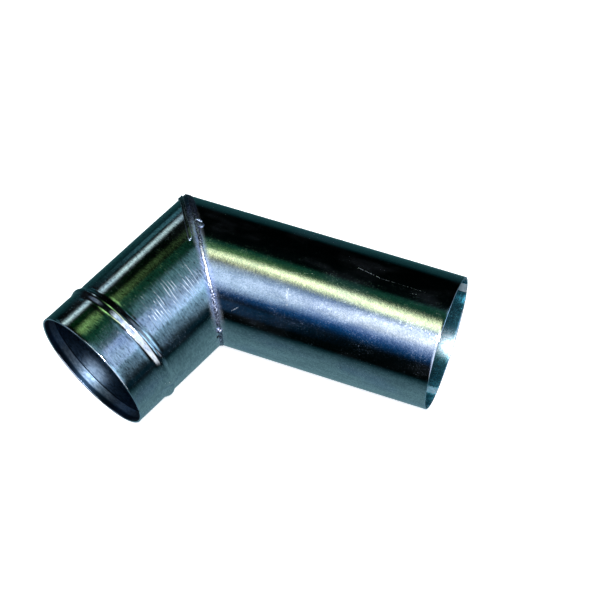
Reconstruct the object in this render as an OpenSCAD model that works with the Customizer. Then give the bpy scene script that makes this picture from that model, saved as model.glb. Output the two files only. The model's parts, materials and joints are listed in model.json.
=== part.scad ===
// Flue elbow: two thin-walled galvanised steel tubes, cut at the same slant and welded together.
// The short leg (the collar) runs along +X from its mouth at the origin.
// The long leg (the tail) turns away from it towards -Y. The bend lies in the XY plane.
// Angles round a tube are counted from the heel, the outside of the bend, towards +Z.

/* [Tubes] */
// Outside diameter of both tubes
tube_d = 100; // [90:1:120]
// Thickness of the steel sheet
sheet = 1; // [0.8:0.1:1.2]
// Angle that the flow turns through
bend = 67.5; // [45:0.5:75]
// Length of the collar, from its mouth to the middle of the mitre
collar_len = 115; // [110:1:160]
// Length of the tail, from the middle of the mitre to its mouth
tail_len = 190; // [170:1:300]
// Length of the tail's end that is sized to the full diameter
tail_sized_len = 60; // [40:1:80]
// How much smaller than its mouth the tail's radius is at the mitre
tail_taper = 0.5; // [0.2:0.1:1]

/* [Stop bead] */
// Distance from the collar's mouth to the middle of the rolled stop bead
bead_pos = 31; // [25:0.5:40]
// Width of the stop bead where it leaves the tube
bead_w = 10; // [8:0.5:12]
// Height of the stop bead above the tube
bead_h = 1.5; // [1:0.1:2]

/* [Mitre joint] */
// Width of the weld round the mitre
weld_w = 4.4; // [4:0.1:5]
// Height of the weld above the tubes
weld_h = 0.9; // [0.5:0.1:1]
// Distance from the mitre to the middle of the raised lip on the collar's heel
lip_pos = 4.8; // [4.7:0.1:6]
// Width of the raised lip
lip_w = 3.5; // [2:0.1:4]
// Height of the raised lip above the tube
lip_h = 1.2; // [0.8:0.1:1.4]
// Angle that the lip reaches to on each side of the heel
lip_reach = 88; // [60:1:89]

/* [Tack welds] */
// Radius of the blob of weld beside the throat
throat_tack_r = 2; // [1.5:0.1:2]
// Angle from the heel to the throat's blob
throat_tack_angle = 169; // [160:1:170]
// Height of the middle of the throat's blob above the mitre's edge
throat_tack_rise = 2; // [1.8:0.1:2.2]
// Radius of the blob of weld where the run starts, near the heel
heel_tack_r = 3; // [2:0.1:3.2]
// Angle from the heel to the heel's blob
heel_tack_angle = 78; // [70:1:90]
// How far the middle of the heel's blob lies past the mitre
heel_tack_shift = 3; // [2:0.1:3.5]
// How far the middle of the heel's blob lies below the tube's surface
heel_tack_sink = 1.5; // [1:0.1:1.7]

/* [Long seams] */
// Width of the butt weld that closes each rolled tube
seam_w = 2.5; // [2:0.1:4]
// Height of a seam outside the tube
seam_proud = 0.15; // [0.05:0.01:0.2]
// Height of a seam inside the tube
seam_root = 0.1; // [0.05:0.01:0.15]
// Angle from the heel to the collar's seam
collar_seam_angle = 175.5; // [175:0.5:185]
// Angle from the heel to the tail's seam
tail_seam_angle = -6; // [-10:0.5:10]

/* [Hidden] */

tube_r = tube_d / 2;
mitre_angle = bend / 2;
// How far the slanted cut reaches past the middle of the mitre at the heel
mitre_reach = (tube_r + bead_h) * tan(mitre_angle);
// Spare length that the mitre cut takes off
spare = 10;
collar_raw = collar_len + mitre_reach + spare;
tail_start = -mitre_reach - spare;
tail_sized_start = tail_len - tail_sized_len;
// Radius of the stop bead's arc, and of the circle that its middle lies on
bead_arc_r = (pow(bead_w / 2, 2) + pow(bead_h, 2)) / (2 * bead_h);
bead_arc_centre = tube_r + bead_h - bead_arc_r;
// A block that reaches past the whole elbow
reach = 2 * (collar_len + tail_len);
// How far a seam's slot reaches into the tube and out of it
slot_depth = 10;

steel = [0.68, 0.72, 0.76];
lip_steel = [0.50, 0.55, 0.60];
weld_steel = [0.80, 0.83, 0.88];
seam_steel = [0.58, 0.62, 0.66];

// Facets round the tubes and round a blob of weld
$fn = 200;
blob_fn = 12;

// Stands a shape that was drawn round Z along the collar's axis, with X turned to an angle
module on_collar(angle = 0) {
    rotate([0, 90, 0])
        rotate([0, 0, 90 + angle])
            children();
}

// The same for the tail, measured from the middle of the mitre
module on_tail(angle = 0) {
    translate([collar_len, 0, 0])
        rotate([0, 0, -bend])
            on_collar(angle)
                children();
}

// Half section of the collar, from its axis out to its surface plus grow
module collar_profile(grow) {
    square([tube_r + grow, collar_raw]);
    translate([bead_arc_centre, bead_pos])
        circle(r = bead_arc_r + grow);
}

// Half section of the tail, from its axis out to its surface plus grow
module tail_profile(grow) {
    polygon([
        [0, tail_start],
        [tube_r - tail_taper + grow, tail_start],
        [tube_r + grow, tail_sized_start],
        [tube_r + grow, tail_len],
        [0, tail_len]
    ]);
}

// Everything between two planes that are parallel to the mitre, at distances along the flow
module mitre_slab(from, to) {
    translate([collar_len, 0, 0])
        rotate([0, 0, -mitre_angle])
            translate([from, -reach / 2, -reach / 2])
                cube([to - from, reach, reach]);
}

module collar_side(gap = 0) {
    mitre_slab(-reach, -gap);
}

module tail_side(gap = 0) {
    mitre_slab(gap, reach);
}

// The elbow as one solid bar, with its surface moved out by grow
module elbow_core(grow) {
    intersection() {
        on_collar()
            rotate_extrude()
                collar_profile(grow);
        collar_side();
    }
    intersection() {
        on_tail()
            rotate_extrude()
                tail_profile(grow);
        tail_side();
    }
}

// A straight block as wide as a seam, from the axis outwards, that the seam's slot is cut with
module seam_slot(from, to) {
    translate([tube_r - slot_depth, -seam_w / 2, from])
        cube([2 * slot_depth, seam_w, to - from]);
}

// A section's strip, as wide as a seam, standing in the plane of the section
module seam_strip() {
    rotate([90, 0, 0])
        linear_extrude(height = seam_w, center = true)
            children();
}

module collar_tube() {
    color(steel)
        difference() {
            intersection() {
                on_collar()
                    rotate_extrude()
                        difference() {
                            collar_profile(0);
                            collar_profile(-sheet);
                        }
                collar_side();
            }
            intersection() {
                on_collar(collar_seam_angle)
                    seam_slot(-spare, collar_raw);
                collar_side(weld_w / 2);
            }
        }
}

module tail_tube() {
    color(steel)
        difference() {
            intersection() {
                on_tail()
                    rotate_extrude()
                        difference() {
                            tail_profile(0);
                            tail_profile(-sheet);
                        }
                tail_side();
            }
            intersection() {
                on_tail(tail_seam_angle)
                    seam_slot(tail_start, tail_len + spare);
                tail_side(weld_w / 2);
            }
        }
}

module collar_seam() {
    color(seam_steel)
        intersection() {
            on_collar(collar_seam_angle)
                seam_strip()
                    difference() {
                        collar_profile(seam_proud);
                        collar_profile(-sheet - seam_root);
                    }
            collar_side(weld_w / 2);
        }
}

module tail_seam() {
    color(seam_steel)
        intersection() {
            on_tail(tail_seam_angle)
                seam_strip()
                    difference() {
                        tail_profile(seam_proud);
                        tail_profile(-sheet - seam_root);
                    }
            tail_side(weld_w / 2);
        }
}

// The space under the top of the mitre weld
module weld_band() {
    intersection() {
        elbow_core(weld_h);
        mitre_slab(-weld_w / 2, weld_w / 2);
    }
}

// The band of weld metal round the outside of the mitre
module mitre_weld() {
    color(weld_steel)
        difference() {
            weld_band();
            elbow_core(0);
        }
}

// The turned-up edge of sheet that stands along the outer half of the mitre, on the collar
module heel_lip() {
    color(lip_steel)
        difference() {
            intersection() {
                on_collar()
                    cylinder(r = tube_r + lip_h, h = collar_raw);
                mitre_slab(-lip_pos - lip_w / 2, -lip_pos + lip_w / 2);
                translate([0, tube_r * cos(lip_reach), -reach / 2])
                    cube([reach, reach, reach]);
            }
            on_collar()
                cylinder(r = tube_r, h = collar_raw);
        }
}

// A ball on the mitre: its angle from the heel, and how far it lies past and over the mitre
module ball(angle, shift, rise, r) {
    across = (tube_r / cos(mitre_angle) + rise) * cos(angle);
    up = (tube_r + rise) * sin(angle);
    translate([collar_len, 0, 0])
        rotate([0, 0, -mitre_angle])
            translate([shift, across, up])
                rotate([angle, 0, 0])
                    sphere(r = r, $fn = blob_fn);
}

// The blob of weld where the run starts
module heel_tack() {
    color(weld_steel)
        difference() {
            ball(heel_tack_angle, heel_tack_shift, -heel_tack_sink, heel_tack_r);
            elbow_core(0);
            weld_band();
        }
}

// The blob of weld that stands on the weld beside the throat
module throat_tack() {
    color(weld_steel)
        difference() {
            ball(throat_tack_angle, 0, throat_tack_rise, throat_tack_r);
            elbow_core(weld_h);
        }
}

collar_tube();
tail_tube();
collar_seam();
tail_seam();
mitre_weld();
heel_lip();
heel_tack();
throat_tack();
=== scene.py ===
import json
import math
import bmesh
import bpy
import numpy as np
from mathutils import Matrix, Vector


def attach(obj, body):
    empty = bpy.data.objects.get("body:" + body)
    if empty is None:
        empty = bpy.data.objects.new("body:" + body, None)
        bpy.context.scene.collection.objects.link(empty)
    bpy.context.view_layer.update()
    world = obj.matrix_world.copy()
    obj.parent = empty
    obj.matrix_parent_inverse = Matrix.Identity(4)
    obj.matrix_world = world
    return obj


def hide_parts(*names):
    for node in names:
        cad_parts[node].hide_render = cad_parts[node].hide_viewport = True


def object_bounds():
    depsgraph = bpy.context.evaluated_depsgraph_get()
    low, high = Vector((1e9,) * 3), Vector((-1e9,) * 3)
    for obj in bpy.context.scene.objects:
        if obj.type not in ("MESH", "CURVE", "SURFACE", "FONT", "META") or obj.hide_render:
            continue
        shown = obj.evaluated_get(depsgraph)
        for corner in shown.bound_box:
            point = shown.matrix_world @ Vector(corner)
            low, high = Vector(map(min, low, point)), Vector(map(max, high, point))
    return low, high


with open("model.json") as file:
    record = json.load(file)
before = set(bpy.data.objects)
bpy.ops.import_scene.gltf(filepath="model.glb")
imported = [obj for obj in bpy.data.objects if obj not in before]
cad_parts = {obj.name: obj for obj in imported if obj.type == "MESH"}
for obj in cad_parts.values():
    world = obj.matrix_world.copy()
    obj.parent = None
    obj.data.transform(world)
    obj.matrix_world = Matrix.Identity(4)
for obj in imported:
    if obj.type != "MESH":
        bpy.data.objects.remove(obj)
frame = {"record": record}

cad_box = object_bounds()
mm = 0.001

# ---------------------------------------------------------------- measures from the frame
record = frame["record"]
mounts = {m["name"]: m for m in record["mounts"]}
tube_r = mounts["collar_spigot"]["dims"]["r_mm"] * mm
sheet = tube_r - mounts["collar_bore"]["dims"]["r_mm"] * mm
spigot_len = mounts["collar_spigot"]["dims"]["length_mm"] * mm
tail_sized_len = mounts["tail_spigot"]["dims"]["length_mm"] * mm
tail_mouth = np.array(mounts["tail_spigot"]["pos_m"])
tail_out = np.array(mounts["tail_spigot"]["axis"])
tail_len = tail_mouth[1] / tail_out[1]
mitre_centre = tail_mouth - tail_out * tail_len
collar_len = mitre_centre[0]
bend = math.atan2(-tail_out[1], tail_out[0])
mitre_tan = math.tan(bend / 2)
mitre_cos = math.cos(bend / 2)
UP = np.array([0.0, 0.0, 1.0])
low, high = (Vector(c) for c in cad_box)
centre = (low + high) / 2

# ---------------------------------------------------------------- camera
VIEW_AZIMUTH = math.radians(43.74)     # of the line of sight, from +Y towards +X
VIEW_ELEVATION = math.radians(60.80)   # of the camera above the floor
VIEW_ROLL = math.radians(4.01)
VIEW_DISTANCE = 1.257
VIEW_ASIDE = 0.0183                    # the line of sight passes this far to the right of the elbow's middle
VIEW_ABOVE = 0.0171                    # and this far above it
LENS_MM = 103.4
SENSOR_MM = 36


def make_camera():
    flat = math.cos(VIEW_ELEVATION)
    ahead = Vector((math.sin(VIEW_AZIMUTH) * flat, math.cos(VIEW_AZIMUTH) * flat, -math.sin(VIEW_ELEVATION)))
    level_right = ahead.cross(Vector((0, 0, 1))).normalized()
    level_up = level_right.cross(ahead)
    up = level_up * math.cos(VIEW_ROLL) + level_right * math.sin(VIEW_ROLL)
    right = ahead.cross(up)
    middle = Vector((centre.x, centre.y, 0))
    place = middle + right * VIEW_ASIDE + up * VIEW_ABOVE - ahead * VIEW_DISTANCE
    data = bpy.data.cameras.new("camera")
    data.lens = LENS_MM
    data.sensor_width = SENSOR_MM
    data.clip_end = 20
    camera = bpy.data.objects.new("camera", data)
    turn = Matrix((right, up, -ahead)).transposed().to_4x4()
    camera.matrix_world = Matrix.Translation(place) @ turn
    bpy.context.scene.collection.objects.link(camera)
    bpy.context.scene.camera = camera


make_camera()

# ---------------------------------------------------------------- the two legs
# A point on a leg is given by its distance out from the middle of the mitre, its angle from the
# heel towards +Z, and its radius.


class Leg:
    """One straight leg. shrink is how much its radius falls from the sized end to the mitre."""

    def __init__(self, out, length, shrink):
        self.out = np.array(out)
        self.heel = np.cross(UP, self.out)
        if self.heel[1] < 0:
            self.heel = -self.heel
        self.length = length
        self.shrink = shrink

    def point(self, s, angle, r):
        s, angle, r = np.broadcast_arrays(s, angle, r)
        radial = self.radial(angle)
        return mitre_centre + s[..., None] * self.out + r[..., None] * radial

    def radial(self, angle):
        angle = np.asarray(angle, float)
        return np.cos(angle)[..., None] * self.heel + np.sin(angle)[..., None] * UP

    def outer(self, s):
        """Radius of the leg's outside, before beads and dents."""
        sized = self.length - tail_sized_len
        full = sized + tube_r * mitre_tan
        return tube_r - self.shrink * np.clip((sized - s) / full, 0, 1)


def mitre_s(angle, r):
    """How far out from the middle of the mitre a leg's edge lies."""
    return -r * np.cos(angle) * mitre_tan


def off_heel_line(angle):
    """An angle from the heel, counted the short way round, either side."""
    return np.abs((angle + math.pi) % (2 * math.pi) - math.pi)


TAIL_TAPER = 0.5 * mm
MITRE_BLEND = 2.5 * mm               # over this far on each side, outwards turns from leg to leg
collar = Leg([-1.0, 0.0, 0.0], collar_len, 0)
tail = Leg(tail_out, tail_len, TAIL_TAPER)


def mitre_point(angle, across, lift):
    """A point on the outside near the mitre: across is its distance past the mitre, towards the
    tail, and lift its height above the sheet."""
    angle, across, lift = np.broadcast_arrays(angle, across, lift)
    places, outs = [], []
    for leg in (collar, tail):
        s = mitre_s(angle, tube_r) + np.abs(across) / mitre_cos
        r = leg.outer(s)
        places.append(leg.point(s, angle, r))
        outs.append(leg.radial(angle))
    on_tail = (across >= 0)[..., None]
    k = np.clip(0.5 + across / (2 * MITRE_BLEND), 0, 1)
    k = (k * k * (3 - 2 * k))[..., None]
    out = outs[0] * (1 - k) + outs[1] * k
    out /= np.linalg.norm(out, axis=-1, keepdims=True)
    return np.where(on_tail, places[1], places[0]) + lift[..., None] * out


def smooth(low_edge, high_edge, x):
    """0 at low_edge, 1 at high_edge, and a smooth step between them."""
    t = np.clip((np.asarray(x, float) - low_edge) / (high_edge - low_edge), 0, 1)
    return t * t * (3 - 2 * t)


# ---------------------------------------------------------------- small relief of the sheet
BEAD_CREST = spigot_len + 5.6 * mm      # distance from the collar's mouth
BEAD_MOUTH_SIDE = 5.4 * mm
BEAD_TUBE_SIDE = 4.0 * mm
BEAD_HEIGHT = 1.5 * mm
BEAD_NECK = 0.07 * mm
BEAD_NECK_AT = 1.15                     # where the neck is deepest, in half widths of the bead
BEAD_NECK_WIDTH = 0.28
BEAD_SHIFT = 0.4 * mm                   # how far off centre the spigot sits, beyond the bead
BEAD_SHIFT_TURN = math.radians(25)
RIM_FLARE = 0.2 * mm
RIM_FLARE_REACH = 1.5 * mm
WELD_PULL = 6 * mm                      # the weld pulled the sheet true over this far


def bead_height(d):
    """The rolled stop bead, at a distance from the collar's mouth, with a slight neck on each side."""
    side = np.where(d < BEAD_CREST, BEAD_MOUTH_SIDE, BEAD_TUBE_SIDE)
    u = np.abs(d - BEAD_CREST) / side
    crown = np.where(u < 1, 0.5 + 0.5 * np.cos(math.pi * np.minimum(u, 1)), 0)
    neck = np.exp(-((u - BEAD_NECK_AT) / BEAD_NECK_WIDTH) ** 2)
    return BEAD_HEIGHT * crown - BEAD_NECK * neck


# height, lobes round the tube, length along it, turn of the lobes, and slide along the tube
COLLAR_WAVES = [
    (0.06 * mm, 2, 240 * mm, 0.6, 0.3),
    (0.05 * mm, 3, 95 * mm, 2.1, 1.2),
    (0.03 * mm, 5, 60 * mm, 0.4, 2.2),
    (0.016 * mm, 8, 34 * mm, 1.7, 0.9),
]
TAIL_WAVES = [
    (0.06 * mm, 2, 420 * mm, 1.1, 0.2),
    (0.04 * mm, 3, 170 * mm, 0.3, 1.9),
    (0.014 * mm, 6, 75 * mm, 2.6, 0.4),
]


def waves(table, s, angle):
    """How far the sheet is out of round."""
    total = np.zeros(np.broadcast(s, angle).shape)
    for size, lobes, length, turn, slide in table:
        total = total + size * np.cos(lobes * angle + turn) * np.cos(2 * math.pi * s / length + slide)
    return total


# ---------------------------------------------------------------- mesh helpers


def look_outwards(mesh):
    """The two legs mirror each other, so the same loops of points can give faces that look
    inwards: these are turned round."""
    shell = bmesh.new()
    shell.from_mesh(mesh)
    volume = shell.calc_volume(signed=True)
    shell.free()
    if volume < 0:
        mesh.flip_normals()


def make_piece(name, points, faces, node, sharp=35, sheet_uv=None, edge_uv=None):
    """A visual piece in place of a CAD node. Its materials read where they are on the sheet from
    the two attributes."""
    mesh = bpy.data.meshes.new(name)
    mesh.from_pydata([tuple(p) for p in points], [], [tuple(f) for f in faces])
    mesh.validate()
    look_outwards(mesh)
    mesh.polygons.foreach_set("use_smooth", [True] * len(mesh.polygons))
    mesh.set_sharp_from_angle(angle=math.radians(sharp))
    for key, values in (("sheet", sheet_uv), ("edge", edge_uv)):
        if values is not None:
            layer = mesh.attributes.new(key, "FLOAT_VECTOR", "POINT")
            layer.data.foreach_set("vector", np.asarray(values, np.float32).ravel())
    piece = bpy.data.objects.new(name, mesh)
    bpy.context.scene.collection.objects.link(piece)
    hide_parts(node)
    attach(piece, "root")
    return piece


HEM_DEPTH = 9.6 * mm
HEM_STEP = 0.5 * mm
HEM_RISE = 1.1 * mm                     # how far its free edge stands off the wall
HEM_START = 0.35                        # and its fold, as a share of that
HEM_STATIONS = [-0.9, -0.3, -0.1, 0.1, 0.3]


def hem_height(away):
    """The edge folded back inside the collar's mouth, as a share of its rise. It has sprung open:
    it stands further off the wall towards its free edge, and ends there in a step."""
    lift = HEM_START + (1 - HEM_START) * (np.clip(away, 0, HEM_DEPTH) / HEM_DEPTH) ** 2
    return np.where(away < HEM_DEPTH, lift, 0) * smooth(HEM_DEPTH, HEM_DEPTH - HEM_STEP / 4, away)


def loop_faces(columns, size, closed):
    """Quads between neighbouring closed loops of the same size. An open run gets an end wall of
    quads, each between a point and the one opposite it in the loop."""
    faces = []
    for i in range(columns if closed else columns - 1):
        a, b = i * size, (i + 1) % columns * size
        for j in range(size):
            k = (j + 1) % size
            faces.append((a + j, b + j, b + k, a + k))
    if not closed:
        last = (columns - 1) * size
        for j in range(size // 2 - 1):
            o = size - 1 - j
            faces.append((j, j + 1, o - 1, o))
            faces.append((last + o, last + o - 1, last + j + 1, last + j))
    return faces


# ---------------------------------------------------------------- tubes
SEAM_HALF = 1.25 * mm
COLLAR_SEAM = math.radians(175.5)
TAIL_SEAM = math.radians(-6)
COLUMNS = 240
RIM_STEPS = 8


def stations(fixed, fixed_step, towards, towards_step, extra):
    """Distances from the mouth over the even part, then shares of the way on to the mitre."""
    near = np.unique(np.concatenate([np.linspace(0, fixed, max(2, round(fixed / fixed_step))), extra]))
    far = np.linspace(0, 1, max(2, round(towards / towards_step)))[1:]
    d = np.concatenate([near, np.full(len(far), fixed)])
    f = np.concatenate([np.zeros(len(near)), far])
    return d, f


def skin(leg, around, d, f, table, relief, hem, round_off, inside):
    """One side of a tube's sheet: how far out from the mitre its points lie, and their radii."""
    depth = sheet if inside else 0
    s = (leg.length - d) * (1 - f) + f * mitre_s(around, tube_r - depth)
    away = leg.length - s
    lump = relief(away, around) + waves(table, s, around) - (hem * hem_height(away) if inside else 0)
    past_mitre = (s - mitre_s(around, tube_r)) * mitre_cos
    s = np.minimum(s, leg.length - round_off)
    return s, leg.outer(s) - depth + lump * smooth(0, WELD_PULL, past_mitre)


def tube(name, leg, seam_angle, table, fixed, fixed_step, towards_step, relief, hem):
    """A rolled tube, open along its seam. Its loops of points run up the outside, over the
    rounded rim and down the inside. Its points are fixed_step apart up to fixed from the mouth,
    and about towards_step from there to the mitre. hem is how far its folded edge stands off."""
    hem_edge = HEM_DEPTH + np.array(HEM_STATIONS) * HEM_STEP
    d, f = stations(fixed, fixed_step, leg.length - fixed, towards_step, hem_edge if hem else [])
    half_gap = SEAM_HALF / tube_r
    angle = np.linspace(seam_angle + half_gap, seam_angle + 2 * math.pi - half_gap, COLUMNS)[:, None]
    round_off = (sheet + hem * hem_height(0.0)) / 2
    s_out, r_out = skin(leg, angle, d, f, table, relief, hem, round_off, inside=False)
    s_in, r_in = skin(leg, angle, d, f, table, relief, hem, round_off, inside=True)
    turn = np.linspace(0, math.pi, RIM_STEPS + 2)[1:-1]
    mid = (r_out[:, :1] + r_in[:, :1]) / 2
    s_rim = leg.length - round_off + round_off * np.sin(turn) + 0 * mid
    r_rim = mid + round_off * np.cos(turn)
    s = np.concatenate([s_out[:, ::-1], s_rim, s_in], axis=1)
    r = np.concatenate([r_out[:, ::-1], r_rim, r_in], axis=1)
    inside = np.concatenate([np.zeros(len(d) + RIM_STEPS), np.ones(len(d))]) + 0 * s
    past_mitre = (s - mitre_s(angle, tube_r)) * mitre_cos
    from_mouth = leg.length - s
    sheet_uv = np.stack([from_mouth, angle * tube_r + 0 * s, 0 * s], axis=-1).reshape(-1, 3)
    edge_uv = np.stack([past_mitre, from_mouth, inside], axis=-1).reshape(-1, 3)
    points = leg.point(s, angle, r).reshape(-1, 3)
    faces = loop_faces(COLUMNS, s.shape[1], closed=False)
    return make_piece(name, points, faces, name, sharp=40, sheet_uv=sheet_uv, edge_uv=edge_uv)


def collar_relief(away, angle):
    """The bead, the spigot's shift beyond it, and the flare of the rim."""
    spread = smooth(BEAD_CREST + 2 * mm, BEAD_CREST - 4 * mm, away)
    shift = BEAD_SHIFT * spread * np.cos(angle - BEAD_SHIFT_TURN)
    flare = RIM_FLARE * np.exp(-np.maximum(away, 0) / RIM_FLARE_REACH)
    return bead_height(away) + shift + flare


def tail_relief(away, angle):
    """The tail is plain."""
    return 0 * away


collar_tube = tube("collar_tube", collar, COLLAR_SEAM, COLLAR_WAVES, fixed=45 * mm,
                   fixed_step=0.6 * mm, towards_step=1.6 * mm, relief=collar_relief,
                   hem=HEM_RISE)
tail_tube = tube("tail_tube", tail, TAIL_SEAM, TAIL_WAVES, fixed=130 * mm,
                 fixed_step=2 * mm, towards_step=1.8 * mm, relief=tail_relief,
                 hem=0)

# ---------------------------------------------------------------- long seams
SEAM_POINTS = 9                         # across its top, and across its root
SEAM_STEP = 0.5 * mm
SEAM_START = 2.4 * mm                   # how far from the mitre it starts
SEAM_END = 0.35 * mm                    # how far short of the rim it ends
SEAM_CROWN = 0.05 * mm
SEAM_OVER = 0.35 * mm                   # how far its top spreads over each edge
SEAM_UNDER = 0.3 * mm                   # and its root
ROOT_DEPTH = 0.35 * mm
ROOT_EDGE = 0.02 * mm
TOP_EDGE = 0.01 * mm


def hash_wave(x, seed):
    """A smooth, repeatable wander between -1 and 1."""
    return (np.sin(x + seed) + np.sin(x * 2.31 + seed * 1.7) + np.sin(x * 4.13 + seed * 2.9)) / 3


def seam(name, leg, seam_angle, table, relief, lap, seed):
    """The butt weld along a tube. lap is how far its root spreads over the inside, on one side."""
    start = mitre_s(seam_angle, tube_r) + SEAM_START / mitre_cos
    s = np.arange(start, leg.length - SEAM_STEP, SEAM_STEP)
    s = np.append(s, leg.length - SEAM_END)
    lump = relief(leg.length - s, seam_angle)
    lump = lump + waves(table, s, seam_angle) * smooth(start, start + WELD_PULL, s)
    wall = (leg.outer(s) + lump)[:, None]
    ripple = 0.06 * mm * np.cos(s / (0.9 * mm)) + 0.05 * mm * hash_wave(s / (2.2 * mm), seed)
    wander = 0.25 * mm * hash_wave(s / (5 * mm), seed + 1)
    t = np.linspace(-1, 1, SEAM_POINTS)
    crown = np.sqrt(np.clip(1 - t ** 2, 0, 1))
    root = np.clip(2.5 * (1 - np.abs(t)), 0, 1)
    u_in = np.where(-t > 0, -t * (SEAM_HALF + lap), -t * (SEAM_HALF + SEAM_UNDER))
    r_top = wall + TOP_EDGE + (SEAM_CROWN + 0.4 * ripple)[:, None] * crown
    r_root = wall - sheet - ROOT_EDGE - ROOT_DEPTH * root
    u_top = t * (SEAM_HALF + SEAM_OVER) + wander[:, None] * crown
    u = np.concatenate([u_top, np.broadcast_to(u_in, r_root.shape)], axis=1)
    r = np.concatenate([r_top, r_root], axis=1)
    along = np.broadcast_to(s[:, None], r.shape)
    points = leg.point(along, seam_angle + u / tube_r, r).reshape(-1, 3)
    return make_piece(name, points, loop_faces(len(s), r.shape[1], closed=False), name)


collar_seam = seam("collar_seam", collar, COLLAR_SEAM, COLLAR_WAVES, collar_relief,
                   lap=0.3 * mm, seed=0.4)
tail_seam = seam("tail_seam", tail, TAIL_SEAM, TAIL_WAVES, tail_relief,
                 lap=9 * mm, seed=1.9)

# ---------------------------------------------------------------- mitre weld
WELD_STEPS = 720
WELD_ACROSS = 19
WELD_MIDDLE = 0.6 * mm                  # how far past the mitre its middle runs, on the throat side
WELD_HALF = 1.25 * mm
WELD_CROWN = 0.62 * mm
HEEL_AWAY = 1.7 * mm                    # towards the heel it runs further out, wider and flatter
HEEL_WIDER = 0.9 * mm
HEEL_FLATTER = 0.34 * mm
WELD_ROOT = 0.3 * mm


def even_stretch(angle):
    """1 where the weld ran hot and smooth, which is on both sides of the elbow, and 0 elsewhere."""
    from_heel = off_heel_line(angle)
    start, end, soft = math.radians(101), math.radians(127), math.radians(5)
    return smooth(start - soft, start + soft, from_heel) * smooth(end + soft, end - soft, from_heel)


def mitre_weld():
    """The run of weld round the mitre: a rippled dome over a sunk root. Its sheet attribute is how
    far across it a point lies, how evenly it ran there, and how near the heel it is."""
    angle = np.linspace(0, 2 * math.pi, WELD_STEPS, endpoint=False)
    run = tube_r * angle
    toward_heel = smooth(math.radians(104), math.radians(62), off_heel_line(angle))
    even = even_stretch(angle)[:, None]
    middle = WELD_MIDDLE + HEEL_AWAY * toward_heel + 0.30 * mm * hash_wave(run / (6 * mm), 0.7)
    half = WELD_HALF + HEEL_WIDER * toward_heel + 0.22 * mm * hash_wave(run / (3.5 * mm), 2.2)
    u = np.linspace(-1, 1, WELD_ACROSS)
    across = middle[:, None] + half[:, None] * u
    dome = 1 - u ** 2
    full = WELD_CROWN - HEEL_FLATTER * toward_heel
    scale = (full + 0.15 * mm * hash_wave(run / (4.5 * mm), 3.1))[:, None]
    chevron = np.cos((run[:, None] + 1.3 * mm * u ** 2) / (0.42 * mm))
    ripple = 0.07 * mm * chevron + 0.08 * mm * hash_wave(run[:, None] / (1.1 * mm) + 2 * u, 5.0)
    ripple = ripple * (1 - 0.85 * even)
    lift = dome * (scale + ripple) + 0.02 * mm
    top = mitre_point(angle[:, None], across, lift)
    under = mitre_point(angle[:, None], across[:, ::-1], -WELD_ROOT * dome[::-1] - 0.05 * mm)
    points = np.concatenate([top, under], axis=1).reshape(-1, 3)
    faces = loop_faces(WELD_STEPS, 2 * WELD_ACROSS, closed=True)
    across_u = np.broadcast_to(np.concatenate([u, u[::-1]]), (WELD_STEPS, 2 * WELD_ACROSS))
    weld_uv = np.stack([np.abs(across_u), even + 0 * across_u,
                        toward_heel[:, None] + 0 * across_u], axis=-1).reshape(-1, 3)
    return make_piece("mitre_weld", points, faces, "mitre_weld", sharp=60, sheet_uv=weld_uv)


weld = mitre_weld()

# ---------------------------------------------------------------- heel lip
LIP_REACH = math.radians(90)
LIP_HALF = 1.75 * mm
LIP_HEIGHT = 1.2 * mm
LIP_STEPS = 400
LIP_MIDDLE = -4.3 * mm                  # how far past the mitre it stands: it is on the collar
LIP_DRIFT = -1.2 * mm                   # and how much further its ends stand
LIP_TIP = 1.8 * mm
LIP_ROOT = 0.3 * mm
# half of its cross section, from an edge towards the hollow middle: place across, and height
LIP_OUTLINE = [(1.0, -0.1), (0.98, 0.45), (0.9, 0.86), (0.78, 1.0), (0.6, 0.94), (0.3, 0.84)]
LIP_HOLLOW = 0.80


def heel_lip():
    """The turned-up edge of sheet, rounded off at both ends."""
    angle = np.linspace(-LIP_REACH, LIP_REACH, LIP_STEPS)
    from_heel = np.abs(angle)
    middle = LIP_MIDDLE + LIP_DRIFT * smooth(math.radians(50), math.radians(90), from_heel)
    to_tip = (LIP_REACH - from_heel) * tube_r
    tip = np.sqrt(np.clip(1 - (1 - np.clip(to_tip / LIP_TIP, 0, 1)) ** 2, 0.02, 1))
    wander = 0.08 * mm * hash_wave(tube_r * angle / (7 * mm), 1.3)
    half_u, half_h = np.array(LIP_OUTLINE).T
    outline_u = np.concatenate([-half_u, [0.0], half_u[::-1]])
    outline_h = np.concatenate([half_h, [LIP_HOLLOW], half_h[::-1]])
    across = (middle + wander)[:, None] + LIP_HALF * tip[:, None] * outline_u
    lift = LIP_HEIGHT * np.sqrt(tip)[:, None] * outline_h
    top = mitre_point(angle[:, None], across, lift)
    under = mitre_point(angle[:, None], across[:, ::-1], -LIP_ROOT)
    points = np.concatenate([top, under], axis=1).reshape(-1, 3)
    faces = loop_faces(len(angle), 2 * len(outline_u), closed=False)
    return make_piece("heel_lip", points, faces, "heel_lip", sharp=50)


lip = heel_lip()

# ---------------------------------------------------------------- tack welds
BLOB_RINGS = 17                         # of points, round its middle point
BLOB_SPOKES = 48
BLOB_UNEVEN = 0.12
BLOB_ROOT = 0.5 * mm


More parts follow.
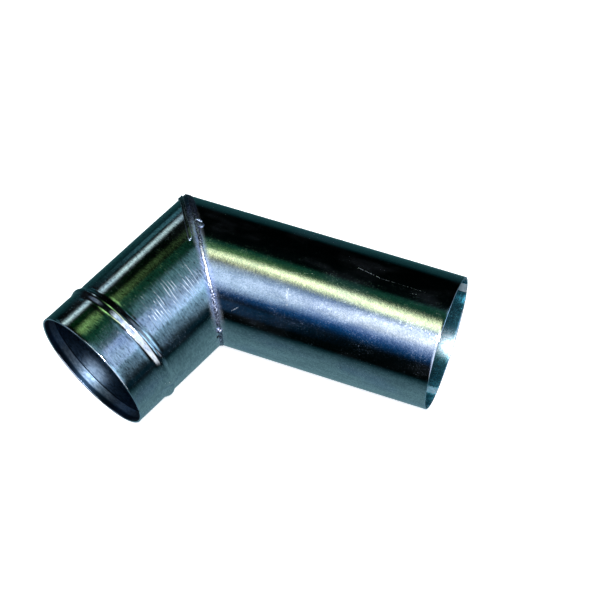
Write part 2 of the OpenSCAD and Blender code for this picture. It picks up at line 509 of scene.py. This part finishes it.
def blob_faces():
    """A top and an underside, each a fan with rings of quads round it, joined by a wall."""
    under = 1 + BLOB_RINGS * BLOB_SPOKES
    rim = (BLOB_RINGS - 1) * BLOB_SPOKES
    faces = []
    for j in range(BLOB_SPOKES):
        k = (j + 1) % BLOB_SPOKES
        faces.append((0, 1 + j, 1 + k))
        faces.append((under, under + 1 + k, under + 1 + j))
        for i in range(BLOB_RINGS - 1):
            a, b = 1 + i * BLOB_SPOKES, 1 + (i + 1) * BLOB_SPOKES
            faces.append((a + j, b + j, b + k, a + k))
            faces.append((under + a + k, under + b + k, under + b + j, under + a + j))
        faces.append((1 + rim + j, under + 1 + rim + j, under + 1 + rim + k, 1 + rim + k))
    return faces


def blob(name, degrees, across, long_half, wide_half, height, pit, seed):
    """A low mound of weld: it follows the surface, long round the mitre, and has a pit: its place
    along and across, its half widths and its depth."""
    angle = math.radians(degrees)
    rho = np.linspace(0, 1, BLOB_RINGS + 1)[1:]
    turn = np.linspace(0, 2 * math.pi, BLOB_SPOKES, endpoint=False)
    rr, tt = np.meshgrid(rho, turn, indexing="ij")
    edge = 1 + BLOB_UNEVEN * hash_wave(tt * 2, seed)
    along = rr * long_half * np.cos(tt) * edge
    side = rr * wide_half * np.sin(tt) * edge
    lump = hash_wave(along / (0.7 * mm), seed + 1) * hash_wave(side / (0.6 * mm), seed + 2)
    pit_along, pit_side, pit_long, pit_wide, pit_depth = pit

    def sunk(x, y):
        return pit_depth * np.exp(-((x - pit_along) / pit_long) ** 2 - ((y - pit_side) / pit_wide) ** 2)

    dome = height * np.sqrt(np.clip(1 - rr ** 2.4, 0, 1)) * (1 + BLOB_UNEVEN * lump)
    place = (angle + along / tube_r, across + side)
    top = mitre_point(*place, dome - sunk(along, side))
    under = mitre_point(*place, -0.4 * mm * (1 - rr ** 2) - 0.1 * mm)
    caps = [mitre_point(angle, across, h) for h in (height - sunk(0.0, 0.0), -BLOB_ROOT)]
    points = np.concatenate([[caps[0]], top.reshape(-1, 3), [caps[1]], under.reshape(-1, 3)])
    return make_piece(name, points, blob_faces(), name, sharp=60)


heel_tack = blob("heel_tack", degrees=78, across=3.6 * mm, long_half=4.2 * mm, wide_half=3.0 * mm,
                 height=1.3 * mm, pit=(-0.4 * mm, 0.2 * mm, 1.2 * mm, 2.4 * mm, 1.5 * mm), seed=0.8)
throat_tack = blob("throat_tack", degrees=169, across=0.4 * mm, long_half=2.2 * mm, wide_half=2.0 * mm,
                   height=1.9 * mm, pit=(0.6 * mm, 0.5 * mm, 0.8 * mm, 0.8 * mm, 0.3 * mm), seed=2.6)

# ---------------------------------------------------------------- materials


class Nodes:
    """Short names for building a node tree."""

    def __init__(self, tree):
        self.tree = tree

    def node(self, kind, *values, **settings):
        made = self.tree.nodes.new(kind)
        for key, value in settings.items():
            setattr(made, key, value)
        for value, socket in zip(values, made.inputs):
            self.join(value, socket)
        return made

    def join(self, value, socket):
        if isinstance(value, bpy.types.NodeSocket):
            self.tree.links.new(value, socket)
        else:
            socket.default_value = value

    def math(self, operation, *values, clamp=False):
        return self.node("ShaderNodeMath", *values, operation=operation, use_clamp=clamp).outputs[0]

    def times(self, a, b):
        return self.math("MULTIPLY", a, b)

    def vector(self, operation, *values, output="Vector"):
        return self.node("ShaderNodeVectorMath", *values, operation=operation).outputs[output]

    def scaled(self, vector, share):
        made = self.node("ShaderNodeVectorMath", vector, operation="SCALE")
        self.join(share, made.inputs["Scale"])
        return made.outputs[0]

    def ramp(self, value, start, end, low_out=0.0, high_out=1.0):
        """A smooth step from low_out at start to high_out at end."""
        made = self.node("ShaderNodeMapRange", value, start, end, low_out, high_out,
                         interpolation_type="SMOOTHSTEP")
        return made.outputs["Result"]


class Shader(Nodes):
    """One node material."""

    def __init__(self, name):
        self.material = bpy.data.materials.new(name)
        self.material.use_nodes = True
        super().__init__(self.material.node_tree)
        self.bsdf = self.tree.nodes["Principled BSDF"]

    def attribute(self, name):
        return self.node("ShaderNodeAttribute", attribute_name=name).outputs["Vector"]

    def place(self):
        return self.node("ShaderNodeTexCoord").outputs["Object"]

    def split(self, vector):
        return self.node("ShaderNodeSeparateXYZ", vector).outputs

    def stretch(self, vector, scale):
        return self.vector("MULTIPLY", vector, scale)

    def noise(self, vector, scale, detail=2.0, rough=0.5):
        made = self.node("ShaderNodeTexNoise", vector)
        for key, value in (("Scale", scale), ("Detail", detail), ("Roughness", rough)):
            made.inputs[key].default_value = value
        return made.outputs["Fac"]

    def cells(self, vector, scale):
        made = self.node("ShaderNodeTexVoronoi", vector)
        made.inputs["Scale"].default_value = scale
        return made.outputs["Color"]

    def mix(self, share, a, b):
        made = self.node("ShaderNodeMix", share, data_type="RGBA")
        for value, socket in ((a, made.inputs[6]), (b, made.inputs[7])):
            self.join((*value, 1.0) if isinstance(value, tuple) else value, socket)
        return made.outputs[2]

    def mix_value(self, share, a, b):
        made = self.node("ShaderNodeMix", share, data_type="FLOAT")
        self.join(a, made.inputs[2])
        self.join(b, made.inputs[3])
        return made.outputs[0]

    def bump(self, height, distance, strength=1.0, normal=None):
        made = self.node("ShaderNodeBump")
        made.inputs["Strength"].default_value = strength
        made.inputs["Distance"].default_value = distance
        self.join(height, made.inputs["Height"])
        if normal is not None:
            self.join(normal, made.inputs["Normal"])
        return made.outputs[0]

    def finish(self, colour, roughness, normal, metallic=1.0):
        for value, key in ((colour, "Base Color"), (roughness, "Roughness"), (normal, "Normal"),
                           (metallic, "Metallic")):
            self.join(value, self.bsdf.inputs[key])
        return self.material


# ---------------------------------------------------------------- the galvanised sheet
ZINC = (0.72, 0.755, 0.80)
ZINC_DARK = (0.48, 0.53, 0.58)
# frosted matt zinc, also used as a painted highlight along the rims
FROST_AND_HIGHLIGHT = (0.68, 0.76, 0.93)
HAZE = (0.20, 0.29, 0.64)
# painted shade inside the collar's mouth: the hem's colours, and near-black by the rim and the hem's free
# edge
HEM_FACE = (0.115, 0.155, 0.21)
HEM_DARKER_SHADE = (0.06, 0.09, 0.13)
PAINTED_MOUTH_SHADE = (0.008, 0.018, 0.035)
SCORCH = (0.05, 0.06, 0.12)
SCORCH_BLUE = (0.28, 0.34, 0.60)
STREAK = (0.74, 0.83, 1.0)
SCRATCH = (0.86, 0.92, 0.98)
STAIN = (0.10, 0.13, 0.20)

# noise scales, in features per metre
GRAIN_SCALE = 900.0
FLECK_SCALE = 1150.0
SPECK_SCALE = 620.0
MOTTLE_SCALE = 330.0
SMUDGE_SCALE = 120.0
CLOUD_SCALE = 38.0
LINE_SCALE = 640.0
BREAK_SCALE = 150.0
WANDER_SCALE = 70.0

GRAIN_RELIEF = 0.02 * mm
MOTTLE_RELIEF = 0.03 * mm
STREAK_RELIEF = 0.012 * mm
STREAK_PITCH = 2.5 * mm
STREAK_LEAN = 0.10
POLISHED = 0.08                      # roughness of the zinc where no grain shows
MARK_ROUGH = 0.5
HEM_ROUGH = 0.38
GRAIN_OUTSIDE = 0.08                 # how much of the surface the grain covers
GRAIN_INSIDE = 0.24


def arc(degrees):
    """The length round the tube that an angle takes up."""
    return tube_r * math.radians(degrees)


def along_tube(seam_angle, degrees):
    """Where an angle from the heel lies on the unrolled sheet, which starts at its long seam."""
    angle = math.radians(degrees)
    return tube_r * (angle if angle >= seam_angle else angle + 2 * math.pi)


class ZincSheet(Shader):
    """Hot-dip zinc on rolled sheet: bright metal broken by a fine matt grain. pull is how far
    rolling drew the grain out round the tube, and veil_reach how far from the mitre the weld's
    heat left a bloom. The look is built up in layers: sheet_look comes first, and each method
    after it adds to the colour, roughness, metallic share or normal so far."""

    def __init__(self, name, seam_angle, pull, veil_reach):
        super().__init__(name)
        self.seam_angle = seam_angle
        self.at = self.attribute("sheet")
        self.away, self.round_it, _ = self.split(self.at)
        self.past_mitre, self.from_mouth, self.inner = self.split(self.attribute("edge"))
        self.outside = self.math("SUBTRACT", 1.0, self.inner)
        self.off_heel = self.distance_from_heel()
        self.grain_at = self.stretch(self.at, (1.0, pull, 1.0))
        self.fine = self.noise(self.grain_at, GRAIN_SCALE, 3.0, 0.7)
        self.fleck = self.split(self.cells(self.grain_at, FLECK_SCALE))
        self.mottle = self.noise(self.at, MOTTLE_SCALE, 3.0, 0.65)
        self.smudge = self.noise(self.stretch(self.at, (0.4, 1.0, 1.0)), SMUDGE_SCALE, 4.0, 0.65)
        self.cloud = self.noise(self.stretch(self.at, (0.5, 1.0, 1.0)), CLOUD_SCALE, 3.0)
        ragged = self.times(self.math("SUBTRACT", self.mottle, 0.5), 3 * mm)
        self.frost_edge = self.math("ADD", self.past_mitre, ragged)
        self.veil = self.weld_veil(veil_reach)
        self.bloom = self.times(self.ramp(self.cloud, 0.48, 0.70), self.outside)
        fine = self.math("MULTIPLY_ADD", self.fine, 1.0, -0.25)
        self.grain = self.math("MULTIPLY_ADD", self.fleck[0], 0.5, fine)
        self.matt = self.matt_share()
        tone = self.math("MULTIPLY_ADD", self.smudge, 0.55, self.times(self.mottle, 0.25))
        self.tone = self.math("MULTIPLY_ADD", self.fleck[1], 0.20, tone)

    def distance_from_heel(self):
        """How far round the tube from the heel, on either side."""
        off = self.math("SUBTRACT", self.round_it, along_tube(self.seam_angle, 0))
        return self.math("PINGPONG", self.math("ABSOLUTE", off), math.pi * tube_r)

    def weld_veil(self, reach):
        """The bloom beside the weld. The weld was made in runs along both sides, so it heated the
        sheet less at heel and throat."""
        near = self.times(self.ramp(self.frost_edge, reach, 0.15 * reach), self.outside)
        past_heel = self.ramp(self.off_heel, arc(58), arc(96), 0.25, 1.0)
        before_throat = self.ramp(self.off_heel, arc(168), arc(142), 0.2, 1.0)
        return self.times(near, self.times(past_heel, before_throat))

    def matt_share(self):
        """How much of the matt grain shows, from 0 to 1."""
        cover = self.ramp(self.inner, 0.0, 1.0, GRAIN_OUTSIDE, GRAIN_INSIDE)
        cover = self.math("ADD", cover, self.ramp(self.smudge, 0.36, 0.72, -0.10, 0.20))
        cover = self.math("ADD", cover, self.ramp(self.cloud, 0.45, 0.75, -0.03, 0.16))
        cover = self.math("MULTIPLY_ADD", self.veil, 0.12, cover)
        return self.math("MULTIPLY_ADD", self.math("ADD", self.grain, cover), 1.9, -1.34, clamp=True)

    def sheet_look(self, inside, inside_shade, inside_metal, inside_rough):
        """The bare sheet outside, with a painted highlight where it turns paler at the rim. Inside, painted
        shade: far darker blue and teal colours stand in for the shade within the tube.
        """
        rim = self.ramp(self.from_mouth, 0.9 * mm, 0.3 * mm)
        colour = self.mix(self.ramp(self.tone, 0.38, 0.62), ZINC_DARK, ZINC)
        colour = self.mix(self.times(self.matt, 0.45), colour, FROST_AND_HIGHLIGHT)
        colour = self.mix(self.times(self.veil, 0.7), colour, HAZE)
        # Painted shade: the inside of the tube gets far darker colours than the zinc outside.
        painted_inside_shade = self.mix(self.ramp(self.grain, 0.24, 0.72), inside_shade, inside)
        colour = self.mix(self.times(self.inner, 0.97), colour, painted_inside_shade)
        # Painted highlight: the sheet turns paler within 0.9 mm of the rim.
        self.colour = self.mix(self.times(rim, 0.6), colour, FROST_AND_HIGHLIGHT)
        rough = self.math("MULTIPLY_ADD", self.matt, 0.20, POLISHED)
        rough = self.math("MULTIPLY_ADD", self.veil, 0.22, rough)
        rough_inside = self.math("MULTIPLY_ADD", self.matt, 0.06, inside_rough)
        self.rough = self.mix_value(self.inner, rough, rough_inside)
        metal = self.math("MULTIPLY_ADD", self.bloom, -0.008, 1.0)
        metal = self.math("MULTIPLY_ADD", self.veil, -0.22, metal)
        self.metal = self.mix_value(self.inner, metal, inside_metal)
        self.normal = self.bump(self.fine, GRAIN_RELIEF, 1.0, self.bump(self.mottle, MOTTLE_RELIEF))

    def grime(self, tint, share):
        """Small dark specks. They are sparse on the underside, which stayed clean."""
        specks = self.ramp(self.noise(self.grain_at, SPECK_SCALE, 2.0, 0.6), 0.53, 0.66)
        specks = self.times(specks, self.outside)
        specks = self.times(specks, self.ramp(self.smudge, 0.40, 0.62, share, 0.25 * share))
        specks = self.times(specks, self.ramp(self.off_heel, arc(152), arc(140)))
        self.colour = self.mix(specks, self.colour, tint)

    def pale_clouds(self):
        self.colour = self.mix(self.times(self.bloom, 0.25), self.colour, HAZE)

    def paint_inside_highlight(self, degrees, half_width, soft, depth, tint, rough, metal):
        """A painted highlight inside the mouth: a paler, rougher patch that stands in for the lamps' light
        on the inner wall. Its angle from the heel, half width and softness (degrees), and how deep in it
        ends."""
        off = self.math("SUBTRACT", self.round_it, along_tube(self.seam_angle, degrees))
        across = self.ramp(self.math("ABSOLUTE", off), arc(half_width + soft), arc(half_width - soft))
        run = self.times(across, self.ramp(self.away, depth * 1.15, depth * 0.8))
        run = self.times(run, self.inner)
        run = self.times(run, self.ramp(self.fleck[1], 0.1, 0.8, 0.55, 1.0))
        # Painted highlight: the patch is paler than the wall around it.
        self.colour = self.mix(run, self.colour, tint)
        self.rough = self.mix_value(run, self.rough, rough)
        self.metal = self.mix_value(run, self.metal, metal)

    def streak_zone(self):
        """1 on the side that bore on the roll, between the bead and the mitre."""
        start, end = along_tube(self.seam_angle, 98), along_tube(self.seam_angle, 127)
        soft = 8 * mm
        zone = self.times(self.ramp(self.round_it, start - soft, start + soft),
                          self.ramp(self.round_it, end + soft, end - soft))
        zone = self.times(zone, self.ramp(self.away, 36 * mm, 52 * mm))
        zone = self.times(zone, self.ramp(self.away, 110 * mm, 84 * mm))
        return self.math("ADD", self.times(zone, 0.92), 0.08)

    def roller_streaks(self):
        """Light scratches round the tube, evenly spaced, from the rolls."""
        wander = self.noise(self.stretch(self.at, (1.0, 0.5, 1.0)), WANDER_SCALE, 2.0)
        turns = 2 * math.pi / STREAK_PITCH
        phase = self.math("MULTIPLY_ADD", self.away, turns, self.times(wander, 9.0))
        phase = self.math("MULTIPLY_ADD", self.round_it, turns * STREAK_LEAN, phase)
        uneven = self.noise(self.stretch(self.at, (1.0, 0.1, 1.0)), LINE_SCALE, 1.0)
        lines = self.ramp(self.math("SINE", phase), 0.25, 0.95)
        lines = self.times(lines, self.ramp(uneven, 0.25, 0.5))
        breaks = self.noise(self.stretch(self.at, (1.0, 0.5, 1.0)), BREAK_SCALE, 1.0)
        zone = self.streak_zone()
        streaks = self.times(self.times(lines, self.ramp(breaks, 0.37, 0.54)), zone)
        streaks = self.times(streaks, self.outside)
        self.colour = self.mix(self.times(streaks, 0.6), self.colour, STREAK)
        self.rough = self.math("MULTIPLY_ADD", streaks, 0.26, self.rough, clamp=True)
        height = self.times(lines, self.times(zone, self.outside))
        self.normal = self.bump(height, STREAK_RELIEF, 1.0, self.normal)

    def folded_edge(self):
        """Painted shade inside the mouth: the hem in dark colours, a near-black band just inside the rim,
        and a near-black painted shadow line at the hem's free edge.
        """
        fold = self.times(self.ramp(self.from_mouth, 3.4 * mm, 5.4 * mm),
                          self.ramp(self.from_mouth, HEM_DEPTH, HEM_DEPTH - HEM_STEP))
        fold = self.times(fold, self.inner)
        face = self.mix(self.ramp(self.tone, 0.40, 0.60), HEM_DARKER_SHADE, HEM_FACE)
        self.colour = self.mix(fold, self.colour, face)
        self.rough = self.mix_value(fold, self.rough, HEM_ROUGH)
        # Painted shade: near-black just inside the rim.
        mouth = self.times(self.ramp(self.from_mouth, 5.2 * mm, 3.2 * mm), self.inner)
        self.colour = self.mix(mouth, self.colour, PAINTED_MOUTH_SHADE)
        # Painted shadow: a near-black line where the hem steps off the wall.
        off = self.math("SUBTRACT", self.from_mouth, HEM_DEPTH + HEM_STEP / 2)
        crease_shadow = self.ramp(self.math("ABSOLUTE", off), 1.6 * HEM_STEP, 0.7 * HEM_STEP)
        self.colour = self.mix(self.times(crease_shadow, self.inner), self.colour, PAINTED_MOUTH_SHADE)

    def scorch(self):
        """Burnt sheet beside the weld, round the heel."""
        burnt = self.ramp(self.off_heel, arc(80), arc(66))
        burnt = self.times(burnt, self.ramp(self.frost_edge, 7.5 * mm, 5 * mm))
        burnt = self.times(burnt, self.outside)
        self.metal = self.mix_value(burnt, self.metal, 1.0)
        blotch = self.mix(self.ramp(self.mottle, 0.52, 0.66, 0.0, 0.8), SCORCH, SCORCH_BLUE)
        self.colour = self.mix(burnt, self.colour, blotch)
        self.rough = self.math("MULTIPLY_ADD", burnt, 0.12, self.rough, clamp=True)

    def mark(self, start, end, width, gain, tint):
        """A straight mark between two points of the sheet, broken up by the flecks."""
        run = tuple(b - a for a, b in zip(start, end))
        length_2 = sum(x * x for x in run)
        off = self.vector("SUBTRACT", self.at, start)
        share = self.vector("DOT_PRODUCT", off, run, output="Value")
        share = self.math("DIVIDE", share, length_2, clamp=True)
        nearest = self.scaled(run, share)
        distance = self.vector("LENGTH", self.vector("SUBTRACT", off, nearest), output="Value")
        distance = self.math("MULTIPLY_ADD", self.fleck[2], width, distance)
        line = self.ramp(distance, width * 1.1, width * 0.45)
        line = self.times(self.times(line, self.outside), gain)
        self.colour = self.mix(line, self.colour, tint)
        self.rough = self.mix_value(line, self.rough, MARK_ROUGH)

    def done(self):
        return self.finish(self.colour, self.rough, self.normal, self.metal)


def collar_sheet():
    s = ZincSheet("galvanised_collar", COLLAR_SEAM, pull=0.35, veil_reach=4.6 * mm)
    # The two inside colours are painted shade.
    s.sheet_look((0.045, 0.10, 0.19), (0.015, 0.045, 0.09), 1.0, 0.32)
    s.grime((0.14, 0.18, 0.20), 0.85)
    s.pale_clouds()
    # A painted highlight inside the mouth.
    s.paint_inside_highlight(-66, 13, 8, 20 * mm, (0.25, 0.34, 0.47), 0.42, 1.0)
    s.roller_streaks()
    s.folded_edge()
    s.scorch()
    return s.done()


def tail_mark(s_mm, degrees):
    """A point of the tail's sheet: its distance out from the mitre, and its angle from the heel."""
    return (tail_len - s_mm * mm, along_tube(TAIL_SEAM, degrees), 0.0)


def tail_sheet():
    s = ZincSheet("galvanised_tail", TAIL_SEAM, pull=1.0, veil_reach=6.0 * mm)
    # The two inside colours are painted shade, tinted teal.
    s.sheet_look((0.10, 0.40, 0.48), (0.05, 0.22, 0.28), 0.96, 0.22)
    s.grime((0.26, 0.33, 0.50), 0.55)
    s.pale_clouds()
    # Painted highlights inside the mouth.
    s.paint_inside_highlight(-63, 12, 6, 60 * mm, (0.38, 0.44, 0.48), 0.34, 0.97)
    s.paint_inside_highlight(-111, 4, 3, 60 * mm, (0.62, 0.75, 0.85), 0.4, 0.6)
    s.mark(tail_mark(117.5, 75.8), tail_mark(135, 79.6), 0.55 * mm, 0.9, SCRATCH)
    s.mark(tail_mark(135, 80.0), tail_mark(170, 80.6), 0.30 * mm, 0.6, SCRATCH)
    s.mark(tail_mark(160, 86.0), tail_mark(164, 85.0), 0.40 * mm, 0.7, SCRATCH)
    s.mark(tail_mark(74, 99.0), tail_mark(90, 94.2), 0.30 * mm, 0.5, SCRATCH)
    s.mark(tail_mark(40.5, 144.5), tail_mark(45, 139.5), 0.60 * mm, 0.8, SCRATCH)
    s.mark(tail_mark(126, 167.0), tail_mark(126.8, 167.6), 0.80 * mm, 0.95, STAIN)
    s.mark(tail_mark(76, 112.0), tail_mark(79, 125.0), 1.90 * mm, 0.5, STAIN)
    return s.done()


# ---------------------------------------------------------------- welds, seams and the lip
WELD_DULL = (0.07, 0.08, 0.12)
WELD_LIGHT = (0.62, 0.66, 0.84)
TACK_LIGHT = (0.30, 0.35, 0.48)
WELD_BURNT = (0.06, 0.07, 0.15)
WELD_PAINTED_HIGHLIGHT = (0.95, 0.94, 1.0)
SEAM_DARK = (0.40, 0.44, 0.48)
SEAM_LIGHT = (0.62, 0.67, 0.72)
LIP_DARK = (0.10, 0.12, 0.14)
LIP_LIGHT = (0.20, 0.23, 0.26)


def weld_metal(name, light):
    """Weld with dull pits, burnt towards the heel, and smoother along its crest where it ran even. There a
    near-white colour is a painted highlight.
    """
    s = Shader(name)
    at = s.place()
    across, even, heel = s.split(s.attribute("sheet"))
    pits = s.noise(at, 1500.0, 3.0, 0.6)
    lumps = s.noise(at, 520.0, 3.0, 0.6)
    speck = s.math("MULTIPLY_ADD", s.noise(at, 950.0), 1.0, s.times(across, -0.08))
    core = s.times(even, s.ramp(across, 0.75, 0.35))
    colour = s.mix(s.ramp(speck, 0.40, 0.56), WELD_DULL, light)
    colour = s.mix(s.times(heel, 0.75), colour, WELD_BURNT)
    # Painted highlight: near-white along the crest where the weld ran even and smooth.
    colour = s.mix(core, colour, WELD_PAINTED_HIGHLIGHT)
    rough = s.ramp(lumps, 0.3, 0.7, 0.30, 0.48)
    normal = s.bump(lumps, 0.35 * mm)
    normal = s.bump(pits, 0.18 * mm, 0.8, normal)
    return s.finish(colour, rough, normal)


def seam_metal(name, dark, light, rough_low, rough_high, relief, metallic):
    """Weld ground nearly flush with the sheet."""
    s = Shader(name)
    at = s.place()
    grain = s.noise(at, 1400.0, 3.0, 0.6)
    tone = s.noise(at, 160.0, 3.0)
    colour = s.mix(s.ramp(tone, 0.3, 0.7), dark, light)
    rough = s.ramp(tone, 0.3, 0.7, rough_low, rough_high)
    return s.finish(colour, rough, s.bump(grain, relief, 0.8), metallic)


def lip_metal(name):
    """Dull sheet, rubbed bright on its edges."""
    s = Shader(name)
    at = s.place()
    grain = s.noise(at, 1200.0, 3.0, 0.6)
    tone = s.noise(at, 220.0, 3.0)
    edges = s.node("ShaderNodeNewGeometry").outputs["Pointiness"]
    colour = s.mix(s.ramp(tone, 0.3, 0.7), LIP_DARK, LIP_LIGHT)
    colour = s.mix(s.ramp(edges, 0.505, 0.53, 0.0, 0.55), colour, FROST_AND_HIGHLIGHT)
    rough = s.ramp(tone, 0.3, 0.7, 0.24, 0.34)
    return s.finish(colour, rough, s.bump(grain, 0.06 * mm, 0.7))


def dress_pieces():
    weld_zinc = weld_metal("weld_metal", WELD_LIGHT)
    made = {
        collar_tube: collar_sheet(),
        tail_tube: tail_sheet(),
        weld: weld_zinc,
        throat_tack: weld_zinc,
        heel_tack: weld_metal("tack_metal", TACK_LIGHT),
        lip: lip_metal("lip_metal"),
        collar_seam: seam_metal("collar_seam_metal", ZINC_DARK, ZINC, 0.12, 0.20, 0.03 * mm, 1.0),
        tail_seam: seam_metal("tail_seam_metal", SEAM_DARK, SEAM_LIGHT, 0.30, 0.42, 0.1 * mm, 0.7),
    }
    for piece, material in made.items():
        piece.data.materials.append(material)


dress_pieces()

# ---------------------------------------------------------------- floor
FLOOR_REACH = 6.0
FLOOR_PAINT = (0.85, 0.86, 0.87, 1)
FLOOR_ROUGH = 0.9
FLOOR_GLOW = 0.62


def make_floor():
    mesh = bpy.data.meshes.new("floor")
    corners = [(FLOOR_REACH * x, FLOOR_REACH * y, low.z) for x, y in ((-1, -1), (1, -1), (1, 1), (-1, 1))]
    mesh.from_pydata(corners, [], [(0, 1, 2, 3)])
    floor = bpy.data.objects.new("floor", mesh)
    bpy.context.scene.collection.objects.link(floor)
    floor.visible_glossy = False
    s = Shader("floor_card")
    s.bsdf.inputs["Base Color"].default_value = FLOOR_PAINT
    s.bsdf.inputs["Roughness"].default_value = FLOOR_ROUGH
    s.bsdf.inputs["Specular IOR Level"].default_value = 0.0
    s.bsdf.inputs["Emission Color"].default_value = (1, 1, 1, 1)
    s.bsdf.inputs["Emission Strength"].default_value = FLOOR_GLOW
    mesh.materials.append(s.material)


make_floor()

# ---------------------------------------------------------------- studio light
# Every soft box is far away: where it stands round and above the elbow, its half width and half
# height, how it is turned, how softly it ends (degrees), and its light.
SOFT_BOXES = {
    "warm_lamp": (155, 80.7, 16.0, 2.0, -13, 5.6, (3.15, 3.40, 1.95)),
    "blue_wash": (210, 42.1, 38.8, 17.7, -56, 9.6, (0.0, 0.119, 0.389)),
    "key_left": (164, 55.5, 6.0, 18.3, 35, 8.0, (1.226, 1.412, 1.393)),
    "key_right": (298, 55.7, 2.0, 17.3, -18, 3.8, (0.498, 0.559, 0.890)),
    "olive_card": (80, 56.8, 2.0, 10.1, -9, 9.6, (1.40, 2.65, 0.85)),
    "side_strip": (74, 15.5, 5.5, 2.2, 58, 5.6, (1.22, 1.62, 1.56)),
    "olive_foot": (77, 33.0, 4.0, 7.0, 0, 3.0, (0.001, 0.021, 0.005)),
    "teal_low": (290, 3.0, 30.0, 5.0, 0, 5.0, (0.002, 0.015, 0.024)),
    "side_glow": (71, -4.0, 2.0, 6.0, 0, 2.6, (0.06, 0.18, 0.20)),
    "green_card": (63, 73.4, 16.5, 10.6, -67, 2.5, (0.005, 0.050, 0.026)),
    "key_core": (230, 36.4, 24.5, 40.0, 2, 6.3, (1.32, 1.35, 1.37)),
    "key_high": (319, 66.9, 25.6, 3.1, 29, 6.3, (0.217, 0.433, 0.493)),
    "key_low": (311, 28.7, 16.3, 17.7, -10, 10.4, (0.84, 1.40, 1.80)),
    "key_tail": (192, 56.0, 4.0, 7.0, 0, 5.0, (0.50, 0.45, 0.25)),
    "navy_edge": (186, 13.0, 3.0, 9.0, 0, 3.0, (0.004, 0.042, 0.100)),
    "fill_back": (128, 16.0, 22.0, 18.0, 0, 9.0, (0.34, 0.42, 0.50)),
    "fill_end": (340, 14.0, 20.0, 16.0, 0, 9.0, (0.30, 0.38, 0.46)),
}
# the light that comes up from below: the height of the direction, and the light from there
GROUND = [
    (-1.00, (0.138, 0.258, 0.290)),
    (-0.70, (0.115, 0.225, 0.250)),
    (-0.50, (0.085, 0.170, 0.195)),
    (-0.30, (0.045, 0.105, 0.120)),
    (-0.18, (0.006, 0.030, 0.036)),
    (-0.10, (0.000, 0.001, 0.001)),
    (1.00, (0.000, 0.003, 0.003)),
]
GROUND_UP = (-0.084, 0.016, 1.0)     # its edge stands higher under the collar than under the tail
HEEL_SIDE = (0.62, 0.78, 0.0)
HEEL_FADE = (0.3, 0.8)               # it fades between these shares of that direction
HEEL_TINT = (0.14, 0.31, 0.29)       # what is left of it on the heel's side
BACKDROP = (0.97, 0.97, 0.97, 1)     # all that the camera sees behind the elbow

FLASH_SIZE = 0.24
FLASH_GLOW = 150.0
FLASH_COLOUR = (0.93, 0.97, 1.0)


def make_flash():
    """The photographer's lamp: a round soft light just above the lens."""
    data = bpy.data.lights.new("flash", "AREA")
    data.shape = "DISK"
    data.size = FLASH_SIZE
    data.color = FLASH_COLOUR
    data.energy = FLASH_GLOW * math.pi * math.pi * FLASH_SIZE ** 2 / 4
    lamp = bpy.data.objects.new("flash", data)
    camera = bpy.context.scene.camera
    lamp.matrix_world = camera.matrix_world @ Matrix.Translation((0, FLASH_SIZE / 2, 0))
    lamp.visible_camera = False
    bpy.context.scene.collection.objects.link(lamp)


make_flash()


class Sky(Nodes):
    """The light from every direction."""

    def __init__(self, tree):
        super().__init__(tree)
        self.direction = self.node("ShaderNodeTexCoord").outputs["Generated"]

    def dot(self, vector):
        return self.vector("DOT_PRODUCT", self.direction, tuple(vector), output="Value")

    def window(self, azimuth, elevation, half_width, half_height, spin, soft, colour):
        """The light of one soft box."""
        a, e, t = math.radians(azimuth), math.radians(elevation), math.radians(spin)
        ahead = Vector((math.cos(a) * math.cos(e), math.sin(a) * math.cos(e), math.sin(e)))
        side = Vector((-math.sin(a), math.cos(a), 0))
        top = ahead.cross(side)
        side, top = side * math.cos(t) + top * math.sin(t), top * math.cos(t) - side * math.sin(t)
        depth = self.dot(ahead)
        share = []
        for axis, half in ((side, half_width), (top, half_height)):
            turn = self.math("ABSOLUTE", self.math("ARCTAN2", self.dot(axis), depth))
            share.append(self.ramp(turn, math.radians(half - soft), math.radians(half + soft), 1, 0))
        return self.scaled(colour, self.times(*share))

    def ground(self):
        """The light from below."""
        height = self.math("MULTIPLY_ADD", self.dot(GROUND_UP), 0.5, 0.5)
        graded = self.node("ShaderNodeValToRGB", height)
        steps = graded.color_ramp.elements
        while len(steps) < len(GROUND):
            steps.new(0.5)
        for step, (z, colour) in zip(steps, GROUND):
            step.position = (z + 1) / 2
            step.color = (*colour, 1)
        light = graded.outputs["Color"]
        heel_side = self.node("ShaderNodeMapRange", self.dot(HEEL_SIDE), *HEEL_FADE)
        mixed = self.node("ShaderNodeMix", heel_side.outputs["Result"], data_type="VECTOR")
        self.join(light, mixed.inputs[4])
        self.join(self.vector("MULTIPLY", light, HEEL_TINT), mixed.inputs[5])
        return mixed.outputs[1]

    def show(self, light):
        """The pieces reflect the light, and the camera sees the plain backdrop."""
        room = self.node("ShaderNodeBackground", light)
        backdrop = self.node("ShaderNodeBackground", BACKDROP)
        seen = self.node("ShaderNodeLightPath").outputs["Is Camera Ray"]
        choose = self.node("ShaderNodeMixShader", seen, room.outputs[0], backdrop.outputs[0])
        self.node("ShaderNodeOutputWorld", choose.outputs[0])


def make_world():
    world = bpy.data.worlds.new("studio")
    bpy.context.scene.world = world
    world.use_nodes = True
    world.node_tree.nodes.clear()
    sky = Sky(world.node_tree)
    light = sky.ground()
    for box in SOFT_BOXES.values():
        light = sky.vector("ADD", light, sky.window(*box))
    sky.show(light)


make_world()
bpy.context.scene.view_settings.view_transform = "Standard"
